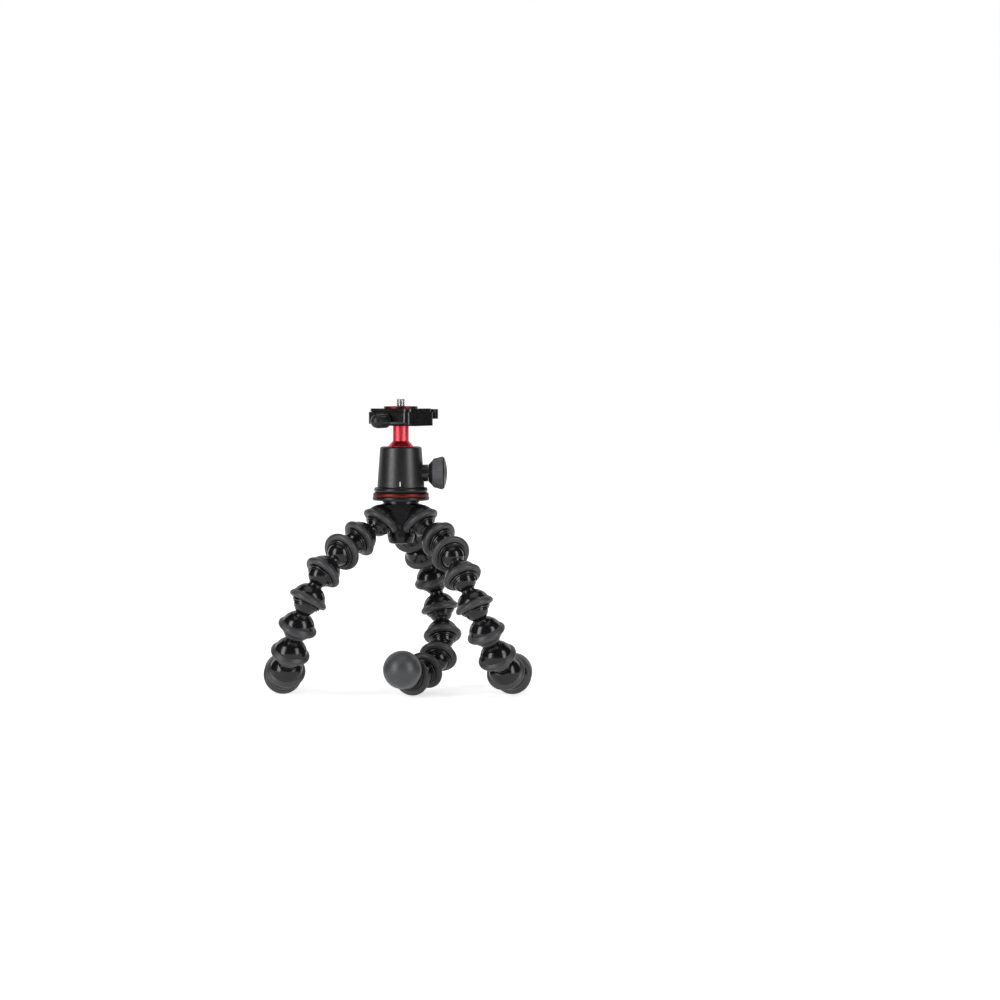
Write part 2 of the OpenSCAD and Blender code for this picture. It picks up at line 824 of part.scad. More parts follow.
module clamp_base() {
    color(satin) at_clamp() difference() {
        union() {
            intersection() {
                along_dovetail(clamp_l) base_section();
                translate([0, 0, clamp_z]) linear_extrude(jaw_top - clamp_z)
                    rounded(clamp_l, clamp_half * 2, clamp_half, clamp_corner);
            }
            level_lug();
        }
        translate([0, 0, clamp_z - eps])
            cylinder(r = clamp_bolt_r + seat_gap, h = clamp_floor - clamp_z);
        translate([0, 0, clamp_floor - clamp_bolt_head_h])
            cylinder(r = clamp_bolt_head_r + slide_gap, h = clamp_bolt_head_h + eps);
        at_vial() cylinder(r = vial_r + seat_gap, h = vial_h + 2 * vial_sink);
        from_knob(-base_front - eps, 0)
            cylinder(r = clamp_screw_r + slide_gap, h = base_front - clamp_screw_in + slide_gap);
        for (x = [-pin_off, pin_off]) from_knob(-base_front - eps, x)
            cylinder(r = pin_r + slide_gap, h = base_front + pin_in + slide_gap);
    }
}

module clamp_bolt() {
    color(steel) at_clamp() {
        translate([0, 0, clamp_z - clamp_bolt_depth])
            cylinder(r = clamp_bolt_r, h = clamp_bolt_depth + clamp_base_h - clamp_bolt_head_h);
        difference() {
            translate([0, 0, clamp_floor - clamp_bolt_head_h])
                cylinder(r = clamp_bolt_head_r, h = clamp_bolt_head_h - slide_gap);
            translate([0, 0, clamp_floor - clamp_bolt_head_h / 2])
                cylinder(r = clamp_bolt_r, h = clamp_bolt_head_h, $fn = 6);
        }
    }
}

module bubble_level() {
    color(glass) at_clamp() at_vial() cylinder(r = vial_r, h = vial_h);
}

module clamp_jaw() {
    color(satin) at_clamp() difference() {
        intersection() {
            along_dovetail(clamp_l) jaw_section();
            translate([0, 0, clamp_z]) linear_extrude(jaw_top)
                rounded(clamp_l, clamp_half, clamp_half * 2, clamp_corner);
        }
        from_knob(-clamp_half - eps, 0) cylinder(r = clamp_screw_r + slide_gap, h = clamp_half);
        for (x = [-pin_off, pin_off]) from_knob(-pin_seat, x)
            cylinder(r = pin_r + seat_gap, h = clamp_half);
    }
}

module guide_pins() {
    color(steel) at_clamp() for (x = [-pin_off, pin_off]) from_knob(-pin_seat, x)
        cylinder(r = pin_r, h = pin_seat + pin_in - slide_gap);
}

module clamp_knob_outline() {
    dome_mid = knob_neck_l + clamp_knob_l - clamp_knob_dome - clamp_knob_dome_in;
    difference() {
        union() {
            band(0, knob_neck_r, 0, knob_neck_l + eps);
            band(0, clamp_knob_r, knob_neck_l, knob_neck_l + clamp_knob_l - clamp_knob_dome);
            intersection() {
                translate([0, dome_mid]) circle(r = clamp_knob_dome + clamp_knob_dome_in);
                band(0, clamp_knob_r - clamp_knob_edge, knob_neck_l, knob_neck_l + clamp_knob_l);
            }
        }
        band(0, clamp_screw_r + seat_gap, -eps, clamp_knob_l / 2);
    }
}

module clamp_knob() {
    color(satin) at_clamp() from_knob(-clamp_knob_in, 0) rotate([180, 0, 0]) difference() {
        rotate_extrude() clamp_knob_outline();
        for (i = [1:clamp_knob_ribs]) rotate([0, 0, i * 360 / clamp_knob_ribs])
            translate([clamp_knob_r + clamp_knob_rib_r / 3, 0, knob_neck_l + clamp_knob_rib_start])
                cylinder(r = clamp_knob_rib_r, h = clamp_knob_l);
    }
}

module clamp_screw() {
    length = clamp_knob_in + clamp_knob_l / 2 - clamp_screw_in - 2 * seat_gap;
    color(steel) at_clamp() from_knob(-clamp_knob_in - clamp_knob_l / 2 + seat_gap, 0)
        cylinder(r = clamp_screw_r, h = length);
}

// Plate
module quick_release_plate() {
    color(satin) at_clamp() difference() {
        union() {
            along_dovetail(clamp_l) plate_section();
            translate([0, 0, plate_flange_low]) linear_extrude(plate_flange_h)
                rounded(clamp_l, plate_half, plate_half, plate_corner);
        }
        translate([0, 0, plate_low - eps])
            cylinder(r = camera_screw_r + slide_gap, h = plate_top);
        translate([0, 0, plate_low - eps])
            cylinder(r = screw_head_r + slide_gap, h = screw_head_lift + screw_head_h + slide_gap);
    }
}

module plate_ring() {
    color(red) at_clamp() rotate_extrude() band(plate_ring_in, plate_ring_r, plate_top, pad_top);
}

module plate_pad() {
    color(rubber) at_clamp() rotate_extrude()
        band(camera_screw_r + air_gap, pad_r, plate_top, pad_top);
}

module thread_groove() {
    out = camera_screw_r + thread_pitch;
    rotate_extrude() polygon([[camera_screw_r - thread_depth, 0], [out, -thread_pitch / 2],
        [out, thread_pitch / 2]]);
}

module camera_screw() {
    color(steel) at_clamp() difference() {
        rotate_extrude() polygon([[0, screw_head_low], [screw_head_r, screw_head_low],
            [screw_head_r, screw_head_low + screw_head_h], [camera_neck_r, screw_head_low + screw_head_h],
            [camera_neck_r, camera_neck_top], [camera_screw_r, camera_neck_top],
            [camera_screw_r, camera_screw_tip - camera_screw_edge],
            [camera_screw_r - camera_screw_edge, camera_screw_tip], [0, camera_screw_tip]]);
        translate([-screw_head_r, -screw_slot_w / 2, screw_head_low - eps])
            cube([2 * screw_head_r, screw_slot_w, screw_slot_h]);
        for (i = [1:threads]) translate([0, 0, camera_screw_tip - i * thread_pitch]) thread_groove();
    }
}

hub_body();
hub_grip_rings();
hub_base_cap();
head_stud();
pan_base();
pan_trim_ring();
pan_disc();
pan_bolt();
head_housing();
ball_collar();
ball_seat();
lock_knob();
lock_knob_grip();
lock_screw();
lock_shoe();
pan_lock_knob();
ball_stem();
clamp_base();
clamp_bolt();
bubble_level();
clamp_jaw();
guide_pins();
clamp_knob();
clamp_screw();
quick_release_plate();
plate_ring();
plate_pad();
camera_screw();
left_link_1();
left_link_2();
left_link_3();
left_link_4();
left_link_5();
left_link_6();
left_link_7();
left_link_8();
left_foot();
left_foot_pad();
right_link_1();
right_link_2();
right_link_3();
right_link_4();
right_link_5();
right_link_6();
right_link_7();
right_link_8();
right_foot();
right_foot_pad();
back_link_1();
back_link_2();
back_link_3();
back_link_4();
back_link_5();
back_link_6();
back_link_7();
back_link_8();
back_foot();
back_foot_pad();
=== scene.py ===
"""Studio scene of a flexible leg tripod with a ball head and a quick release clamp.

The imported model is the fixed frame. Fine turned meshes stand in for the legs and for the pieces
that are turned on a lathe, the other pieces keep their solids with softened edges, and every
surface has its own procedural finish. Lengths in the classes are millimetres.
"""

import json
import logging
import math
from dataclasses import dataclass, field
from enum import Enum
from typing import Callable, Optional, Sequence

import bmesh
import bpy
from mathutils import Matrix, Vector


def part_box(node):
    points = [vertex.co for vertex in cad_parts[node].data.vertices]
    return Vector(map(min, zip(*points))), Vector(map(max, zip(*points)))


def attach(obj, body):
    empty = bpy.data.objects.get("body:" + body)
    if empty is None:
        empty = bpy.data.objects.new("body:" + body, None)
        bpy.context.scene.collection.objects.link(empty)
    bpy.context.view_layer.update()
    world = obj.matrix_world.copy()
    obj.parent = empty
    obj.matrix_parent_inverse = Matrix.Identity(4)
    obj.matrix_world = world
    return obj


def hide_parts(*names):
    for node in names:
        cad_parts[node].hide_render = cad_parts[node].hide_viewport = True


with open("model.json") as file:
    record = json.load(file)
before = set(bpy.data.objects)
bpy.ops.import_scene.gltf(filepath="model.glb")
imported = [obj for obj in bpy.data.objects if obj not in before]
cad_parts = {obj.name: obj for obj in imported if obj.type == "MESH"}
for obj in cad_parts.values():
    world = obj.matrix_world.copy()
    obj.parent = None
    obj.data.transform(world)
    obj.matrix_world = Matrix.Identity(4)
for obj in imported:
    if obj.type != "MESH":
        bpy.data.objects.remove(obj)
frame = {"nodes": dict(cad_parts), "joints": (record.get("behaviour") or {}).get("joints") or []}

MM = 0.001
UP = Vector((0.0, 0.0, 1.0))
WHITE = (1.0, 1.0, 1.0, 1.0)
SHARP_FROM = math.radians(40.0)
BEVEL_FROM = math.radians(35.0)
BEVEL_STEPS = 2
WELD_GAP = 0.002 * MM
ON_AXIS = 1e-4
COAT_ROUGHNESS = 0.08
NOISE_SPAN = (0.3, 0.7)
EDGE_SPAN = (0.52, 0.62)
RUBBED_GAIN = 2.2
RUBBED_LIFT = 0.02
SCUFF_SHARE = 0.35
RING_STRETCH = (0.02, 0.02, 1.0)

Relief = Callable[[float, float, float], float]
log = logging.getLogger("tripod")


class Grain(Enum):
    """The fine relief that a surface keeps from the way it was made."""

    POLISHED = "faint waves of a polished mould"
    PEBBLED = "small round cells of a textured rubber mould"
    BLASTED = "fine dense grain of a blasted and anodised metal"
    TURNED = "fine rings left by a lathe tool"


@dataclass(frozen=True)
class Finish:
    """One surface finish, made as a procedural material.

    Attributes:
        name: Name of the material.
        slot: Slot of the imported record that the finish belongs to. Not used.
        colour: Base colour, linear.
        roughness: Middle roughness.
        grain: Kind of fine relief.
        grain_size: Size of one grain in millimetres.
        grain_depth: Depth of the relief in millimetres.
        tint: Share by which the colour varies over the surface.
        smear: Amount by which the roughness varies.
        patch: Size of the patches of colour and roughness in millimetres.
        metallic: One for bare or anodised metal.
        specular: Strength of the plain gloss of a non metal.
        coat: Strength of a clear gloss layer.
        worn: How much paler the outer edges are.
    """

    name: str
    slot: str
    colour: tuple[float, float, float]
    roughness: float
    grain: Grain
    grain_size: float
    grain_depth: float
    tint: float = 0.12
    smear: float = 0.06
    patch: float = 9.0
    metallic: float = 0.0
    specular: float = 0.5
    coat: float = 0.0
    worn: float = 0.0

    def material(self) -> bpy.types.Material:
        """Makes the material on first use.

        Returns:
            The material, shared by every piece with this finish.
        """
        made = bpy.data.materials.get(self.name)
        if made is not None:
            return made
        made = bpy.data.materials.new(self.name)
        made.use_nodes = True
        made.diffuse_color = (*self.colour, 1.0)
        graph = NodeGraph(made.node_tree)
        shader = graph.find("BSDF_PRINCIPLED")
        shader.inputs["Metallic"].default_value = self.metallic
        shader.inputs["Specular IOR Level"].default_value = self.specular
        shader.inputs["Coat Weight"].default_value = self.coat
        shader.inputs["Coat Roughness"].default_value = COAT_ROUGHNESS
        place = self._place(graph)
        self._paint(graph, shader, place)
        self._relief(graph, shader, place)
        return made

    def _place(self, graph: "NodeGraph") -> bpy.types.NodeSocket:
        """Shifts each piece's own coordinates, so that twins don't share one pattern.

        Args:
            graph: Node graph of the material.

        Returns:
            The coordinates in metres.
        """
        coordinates = graph.add("ShaderNodeTexCoord")
        piece = graph.add("ShaderNodeObjectInfo")
        shift = graph.add("ShaderNodeVectorMath", operation="ADD")
        graph.join(coordinates.outputs["Object"], shift.inputs[0])
        graph.join(piece.outputs["Random"], shift.inputs[1])
        return shift.outputs["Vector"]

    def _paint(self, graph: "NodeGraph", shader: bpy.types.Node,
               place: bpy.types.NodeSocket) -> None:
        """Links the uneven colour, the uneven gloss and the worn edges.

        Args:
            graph: Node graph of the material.
            shader: The surface shader.
            place: Coordinates of the pattern.
        """
        patches = graph.noise(place, self.patch, detail=5.0)
        dark = tuple(c * (1.0 - self.tint) for c in self.colour)
        pale = tuple(c * (1.0 + self.tint) for c in self.colour)
        colour = graph.blend(patches, dark, pale)
        if self.worn > 0.0:
            surface = graph.add("ShaderNodeNewGeometry")
            edge = graph.stretch(surface.outputs["Pointiness"], EDGE_SPAN, (0.0, self.worn))
            rubbed = tuple(min(1.0, c * RUBBED_GAIN + RUBBED_LIFT) for c in self.colour)
            colour = graph.blend(edge, colour, rubbed)
        graph.join(colour, shader.inputs["Base Color"])
        scuffs = graph.noise(place, self.patch * SCUFF_SHARE, detail=4.0)
        low = max(0.02, self.roughness - self.smear)
        high = min(1.0, self.roughness + self.smear)
        graph.join(graph.stretch(scuffs, NOISE_SPAN, (low, high)), shader.inputs["Roughness"])

    def _relief(self, graph: "NodeGraph", shader: bpy.types.Node,
                place: bpy.types.NodeSocket) -> None:
        """Links the fine relief as a bump.

        Args:
            graph: Node graph of the material.
            shader: The surface shader.
            place: Coordinates of the pattern.
        """
        if self.grain is Grain.PEBBLED:
            height = graph.cells(place, self.grain_size)
        elif self.grain is Grain.TURNED:
            rings = graph.add("ShaderNodeVectorMath", operation="MULTIPLY")
            rings.inputs[1].default_value = RING_STRETCH
            graph.join(place, rings.inputs[0])
            height = graph.noise(rings.outputs["Vector"], self.grain_size, detail=3.0)
        else:
            height = graph.noise(place, self.grain_size, detail=4.0)
        bump = graph.add("ShaderNodeBump")
        bump.inputs["Strength"].default_value = 1.0
        bump.inputs["Distance"].default_value = self.grain_depth * MM
        graph.join(height, bump.inputs["Height"])
        graph.join(bump.outputs["Normal"], shader.inputs["Normal"])


@dataclass
class NodeGraph:
    """A thin layer over a shader's node tree.

    Attributes:
        tree: The node tree that the graph adds to.
    """

    tree: bpy.types.NodeTree

    def add(self, kind: str, **settings: object) -> bpy.types.Node:
        """Adds one node.

        Args:
            kind: Type of the node.
            settings: Properties to set on it.

        Returns:
            The new node.
        """
        node = self.tree.nodes.new(kind)
        for name, value in settings.items():
            setattr(node, name, value)
        return node

    def find(self, kind: str) -> bpy.types.Node:
        """Returns the first node of a type."""
        return next(node for node in self.tree.nodes if node.type == kind)

    def join(self, source: bpy.types.NodeSocket, target: bpy.types.NodeSocket) -> None:
        """Links one socket to another."""
        self.tree.links.new(source, target)

    def noise(self, place: bpy.types.NodeSocket, size: float,
              detail: float) -> bpy.types.NodeSocket:
        """Adds a noise texture.

        Args:
            place: Coordinates in metres.
            size: Size of one patch in millimetres.
            detail: Number of finer layers.

        Returns:
            The noise value.
        """
        node = self.add("ShaderNodeTexNoise")
        node.inputs["Scale"].default_value = 1.0 / (size * MM)
        node.inputs["Detail"].default_value = detail
        self.join(place, node.inputs["Vector"])
        return node.outputs["Fac"]

    def cells(self, place: bpy.types.NodeSocket, size: float) -> bpy.types.NodeSocket:
        """Adds small round cells.

        Args:
            place: Coordinates in metres.
            size: Size of one cell in millimetres.

        Returns:
            The distance from the middle of the cell.
        """
        node = self.add("ShaderNodeTexVoronoi", feature="SMOOTH_F1")
        node.inputs["Scale"].default_value = 1.0 / (size * MM)
        self.join(place, node.inputs["Vector"])
        return node.outputs["Distance"]

    def stretch(self, value: bpy.types.NodeSocket, before: Sequence[float],
                after: Sequence[float]) -> bpy.types.NodeSocket:
        """Maps one range of values to another.

        Args:
            value: The value to map.
            before: Lowest and highest value before.
            after: Lowest and highest value after.

        Returns:
            The mapped value.
        """
        node = self.add("ShaderNodeMapRange")
        for name, number in zip(("From Min", "From Max", "To Min", "To Max"), (*before, *after)):
            node.inputs[name].default_value = number
        self.join(value, node.inputs["Value"])
        return node.outputs["Result"]

    def blend(self, share: bpy.types.NodeSocket, first: object,
              second: object) -> bpy.types.NodeSocket:
        """Blends two colours.

        Args:
            share: How much of the second colour shows.
            first: A colour, or the socket that gives it.
            second: A colour, or the socket that gives it.

        Returns:
            The blended colour.
        """
        node = self.add("ShaderNodeMix", data_type="RGBA")
        self.join(share, node.inputs[0])
        for source, socket in ((first, node.inputs[6]), (second, node.inputs[7])):
            if isinstance(source, bpy.types.NodeSocket):
                self.join(source, socket)
            else:
                socket.default_value = (*source, 1.0)
        return node.outputs[2]


@dataclass(frozen=True)
class ClearFinish:
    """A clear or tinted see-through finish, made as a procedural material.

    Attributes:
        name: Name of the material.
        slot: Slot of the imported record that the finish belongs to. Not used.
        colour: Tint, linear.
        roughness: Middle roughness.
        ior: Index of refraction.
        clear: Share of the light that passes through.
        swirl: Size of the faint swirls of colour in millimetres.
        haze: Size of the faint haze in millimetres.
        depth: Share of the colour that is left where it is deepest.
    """

    name: str
    slot: str
    colour: tuple[float, float, float]
    roughness: float
    ior: float
    clear: float
    swirl: float = 1.1
    haze: float = 0.4
    depth: float = 0.86

    def material(self) -> bpy.types.Material:
        """Makes the material on first use.

        Returns:
            The material, shared by every piece with this finish.
        """
        made = bpy.data.materials.get(self.name)
        if made is not None:
            return made
        made = bpy.data.materials.new(self.name)
        made.use_nodes = True
        made.diffuse_color = (*self.colour, 1.0)
        graph = NodeGraph(made.node_tree)
        shader = graph.find("BSDF_PRINCIPLED")
        shader.inputs["IOR"].default_value = self.ior
        shader.inputs["Transmission Weight"].default_value = self.clear
        place = graph.add("ShaderNodeTexCoord").outputs["Object"]
        swirls = graph.noise(place, self.swirl, detail=2.0)
        deep = tuple(c * self.depth for c in self.colour)
        graph.join(graph.blend(swirls, deep, self.colour), shader.inputs["Base Color"])
        haze = graph.stretch(graph.noise(place, self.haze, detail=4.0), NOISE_SPAN,
                             (self.roughness * 0.6, self.roughness * 1.4))
        graph.join(haze, shader.inputs["Roughness"])
        return made


GLOSS_BLACK = Finish("moulded_gloss_black", "black_gloss", (0.006, 0.006, 0.007), 0.18,
                     Grain.POLISHED, 5.0, 0.012, tint=0.25, smear=0.05, specular=0.36)
HUB_BLACK = Finish("hub_satin_black", "black_gloss", (0.006, 0.006, 0.007), 0.26,
                   Grain.POLISHED, 5.0, 0.008, tint=0.25, smear=0.04, specular=0.28)
GRIP_RUBBER = Finish("grip_ring_rubber", "grip_rubber", (0.03, 0.03, 0.032), 0.46,
                     Grain.PEBBLED, 0.32, 0.01, tint=0.14, smear=0.06, worn=0.2)
FOOT_RUBBER = Finish("foot_pad_rubber", "foot_rubber", (0.042, 0.044, 0.046), 0.42,
                     Grain.PEBBLED, 0.3, 0.006, tint=0.1, smear=0.05, worn=0.15)
PAN_BLACK = Finish("pan_black_anodised", "black_anodised", (0.006, 0.006, 0.006), 0.34,
                   Grain.TURNED, 0.2, 0.002, tint=0.12, smear=0.04, specular=0.3)
SATIN_BLACK = Finish("satin_black_anodised", "black_anodised", (0.007, 0.007, 0.007), 0.37,
                     Grain.BLASTED, 0.18, 0.003, tint=0.12, smear=0.04, specular=0.5)
CLAMP_BLACK = Finish("clamp_black_anodised", "black_anodised", (0.007, 0.007, 0.007), 0.22,
                     Grain.POLISHED, 2.0, 0.002, tint=0.12, smear=0.03, specular=0.45, worn=0.1)
RED_STEM = Finish("red_anodised_stem", "red_anodised", (0.7, 0.065, 0.085), 0.4,
                  Grain.TURNED, 0.22, 0.003, tint=0.08, smear=0.05, metallic=1.0)
# A darker copy of the red anodised finish. It is partly the rings' own deeper red and partly
# painted shade, for the two rings that sit in shadow under the housing and under the camera.
RED_TRIM_TONE_AND_SHADE = Finish("red_anodised_trim_tone_and_shade", "red_anodised", (0.115, 0.02, 0.017), 0.45,
                  Grain.TURNED, 0.2, 0.003, tint=0.1, smear=0.05, metallic=1.0)
STEEL = Finish("turned_steel", "steel", (0.55, 0.55, 0.56), 0.26,
               Grain.TURNED, 0.15, 0.003, tint=0.06, smear=0.06, metallic=1.0)
KNOB_PLASTIC = Finish("knob_satin_plastic", "knob_plastic", (0.008, 0.008, 0.009), 0.38,
                      Grain.POLISHED, 1.2, 0.004, tint=0.15, smear=0.05, specular=0.3, worn=0.1)
KNOB_RUBBER = Finish("knob_grip_rubber", "grip_rubber", (0.062, 0.061, 0.068), 0.6,
                     Grain.PEBBLED, 0.45, 0.04, tint=0.14, smear=0.08, worn=0.25)
PAD_RUBBER = Finish("plate_pad_rubber", "grip_rubber", (0.03, 0.03, 0.032), 0.62,
                    Grain.PEBBLED, 0.4, 0.03, tint=0.15, smear=0.08)
SEAT_POLYMER = Finish("ball_seat_polymer", "knob_plastic", (0.03, 0.03, 0.032), 0.45,
                      Grain.POLISHED, 1.0, 0.006)
WHITE_PAINT = Finish("white_index_paint", "black_anodised", (0.72, 0.72, 0.7), 0.5,
                     Grain.POLISHED, 0.6, 0.004, tint=0.06)
LEVEL_CUP = Finish("level_cup_plastic", "knob_plastic", (0.6, 0.6, 0.58), 0.4,
                   Grain.POLISHED, 0.6, 0.004, tint=0.06)
LEVEL_MARK = Finish("level_ring_mark", "knob_plastic", (0.01, 0.01, 0.01), 0.4,
                    Grain.POLISHED, 0.4, 0.002, tint=0.1)
LEVEL_FLUID = ClearFinish("level_green_fluid", "vial", (0.55, 0.86, 0.12), 0.04, 1.36, 0.35)
LEVEL_BUBBLE = ClearFinish("level_air_bubble", "vial", (0.86, 0.97, 0.62), 0.05, 1.2, 0.4)
LEVEL_GLASS = ClearFinish("level_clear_cover", "vial", (0.96, 0.98, 0.96), 0.03, 1.49, 1.0)


@dataclass
class Outline:
    """An outline beside a turning axis, drawn corner by corner in millimetres.

    Attributes:
        corners: Radius, height and fillet of each corner.
        steps: Straight steps that stand for one fillet.
    """

    corners: list[tuple[float, float, float]] = field(default_factory=list)
    steps: int = 5

    def to(self, radius: float, height: float, fillet: float = 0.0) -> "Outline":
        """Adds one corner.

        Args:
            radius: Distance from the axis.
            height: Place along the axis.
            fillet: Radius of the rounding at this corner.

        Returns:
            The outline itself.
        """
        self.corners.append((radius, height, fillet))
        return self

    def arc(self, radius: float, height: float, reach: float, start: float, stop: float,
            steps: int = 12) -> "Outline":
        """Adds an arc about a centre.

        Args:
            radius: Distance of the centre from the axis.
            height: Place of the centre along the axis.
            reach: Radius of the arc.
            start: First angle in degrees, from straight out towards up.
            stop: Last angle in degrees.
            steps: Straight steps that stand for the arc.

        Returns:
            The outline itself.
        """
        for i in range(steps + 1):
            angle = math.radians(start + (stop - start) * i / steps)
            self.to(max(0.0, radius + reach * math.cos(angle)), height + reach * math.sin(angle))
        return self

    def points(self) -> list[tuple[float, float]]:
        """Works out the outline with its corners rounded.

        Returns:
            Radius and height of each point.
        """
        done: list[tuple[float, float]] = []
        for i, (radius, height, fillet) in enumerate(self.corners):
            here = Vector((radius, height))
            if fillet <= 0.0 or i in (0, len(self.corners) - 1):
                done.append((radius, height))
                continue
            back = Vector(self.corners[i - 1][:2]) - here
            ahead = Vector(self.corners[i + 1][:2]) - here
            room = 0.48 * min(back.length, ahead.length)
            cut = min(fillet / math.tan(back.angle(ahead) / 2.0), room)
            first = here + back.normalized() * cut
            last = here + ahead.normalized() * cut
            for k in range(self.steps + 1):
                t = k / self.steps
                point = first * (1 - t) ** 2 + here * 2 * t * (1 - t) + last * t ** 2
                done.append((point.x, point.y))
        return done


def linked(name: str, data: bpy.types.ID) -> bpy.types.Object:
    """Puts new data in the scene as an object.

    Args:
        name: Name of the object.
        data: Its mesh, lamp or camera.

    Returns:
        The new object, at the origin.
    """
    thing = bpy.data.objects.new(name, data)
    bpy.context.scene.collection.objects.link(thing)
    return thing


def finished_mesh(shape: bmesh.types.BMesh, name: str) -> bpy.types.Mesh:
    """Turns a worked shape into a mesh and lets the shape go.

    Args:
        shape: The worked shape.
        name: Name of the mesh.

    Returns:
        The mesh.
    """
    mesh = bpy.data.meshes.new(name)
    shape.to_mesh(mesh)
    shape.free()
    return mesh


def joint_spots() -> dict[str, Vector]:
    """Returns the place of every hinge, by its name."""
    return {joint["name"]: Vector(joint["pos_m"]) for joint in frame["joints"] if "pos_m" in joint}


def stand(node: str) -> tuple[Vector, float]:
    """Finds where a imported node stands.

    Args:
        node: Name of the node.

    Returns:
        The middle of its underside in metres, and its height in millimetres.
    """
    low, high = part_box(node)
    return Vector(((low.x + high.x) / 2.0, (low.y + high.y) / 2.0, low.z)), (high.z - low.z) / MM


def turned_mesh(name: str, outline: Outline, segments: int = 72, ring: bool = False,
                relief: Optional[Relief] = None) -> bpy.types.Mesh:
    """Turns an outline about its axis into a closed mesh.

    Args:
        name: Name of the mesh.
        outline: The outline, from axis to axis, or all round for a ring.
        segments: Steps of one turn.
        ring: Whether the outline closes on itself.
        relief: Gives the radius at a radius, height and angle, for ribs and threads.

    Returns:
        The mesh, in metres.
    """
    shape = bmesh.new()
    rows: list[list[bmesh.types.BMVert]] = []
    for radius, height in outline.points():
        if radius < ON_AXIS:
            rows.append([shape.verts.new((0.0, 0.0, height * MM))])
            continue
        row = []
        for k in range(segments):
            angle = math.tau * k / segments
            reach = relief(radius, height, angle) if relief else radius
            x, y = reach * math.cos(angle), reach * math.sin(angle)
            row.append(shape.verts.new((x * MM, y * MM, height * MM)))
        rows.append(row)
    pairs = list(zip(rows, rows[1:] + rows[:1])) if ring else list(zip(rows, rows[1:]))
    for lower, upper in pairs:
        for k in range(segments):
            n = (k + 1) % segments
            if len(lower) == 1 and len(upper) > 1:
                shape.faces.new((lower[0], upper[n], upper[k]))
            elif len(upper) == 1 and len(lower) > 1:
                shape.faces.new((lower[k], lower[n], upper[0]))
            elif len(lower) > 1:
                shape.faces.new((lower[k], lower[n], upper[n], upper[k]))
    bmesh.ops.recalc_face_normals(shape, faces=shape.faces)
    mesh = finished_mesh(shape, name)
    mesh.shade_smooth()
    mesh.set_sharp_from_angle(angle=SHARP_FROM)
    return mesh


def placed(name: str, mesh: bpy.types.Mesh, spot: Vector, axis: Vector = UP) -> bpy.types.Object:
    """Puts a mesh in the scene with its own up along an axis.

    Args:
        name: Name of the piece.
        mesh: Mesh with its origin at the spot.
        spot: Place in metres.
        axis: Direction of the mesh's own up.

    Returns:
        The new piece.
    """
    piece = linked(name, mesh)
    turn = UP.rotation_difference(axis.normalized()).to_matrix().to_4x4()
    piece.matrix_world = Matrix.Translation(spot) @ turn
    return piece


def dress(piece: bpy.types.Object, finish: Finish | ClearFinish, body: str,
          *stands_for: str) -> bpy.types.Object:
    """Gives a new piece its finish, its body and the nodes that it stands for.

    Args:
        piece: The new piece.
        finish: Its finish.
        body: The body that it moves with.
        stands_for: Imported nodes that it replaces.

    Returns:
        The piece.
    """
    if not piece.data.materials:
        piece.data.materials.append(finish.material())
    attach(piece, body)
    if stands_for:
        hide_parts(*stands_for)
    log.info("%s: %s on %s", piece.name, finish.name, body)
    return piece


def keep(node: str, finish: Finish, edge: float = 0.0) -> bpy.types.Object:
    """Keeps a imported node, with a finish and softened edges.

    Args:
        node: Name of the node.
        finish: Its finish.
        edge: Width of the softened edges in millimetres.

    Returns:
        The node's object.
    """
    piece = frame["nodes"][node]
    piece.data.materials.clear()
    piece.data.materials.append(finish.material())
    weld = piece.modifiers.new("weld", "WELD")
    weld.merge_threshold = WELD_GAP
    if edge > 0.0:
        bevel = piece.modifiers.new("soft_edges", "BEVEL")
        bevel.width = edge * MM
        bevel.segments = BEVEL_STEPS
        bevel.limit_method = "ANGLE"
        bevel.angle_limit = BEVEL_FROM
        piece.modifiers.new("even_shading", "WEIGHTED_NORMAL")
    log.info("%s: %s, edges %.2f mm", node, finish.name, edge)
    return piece


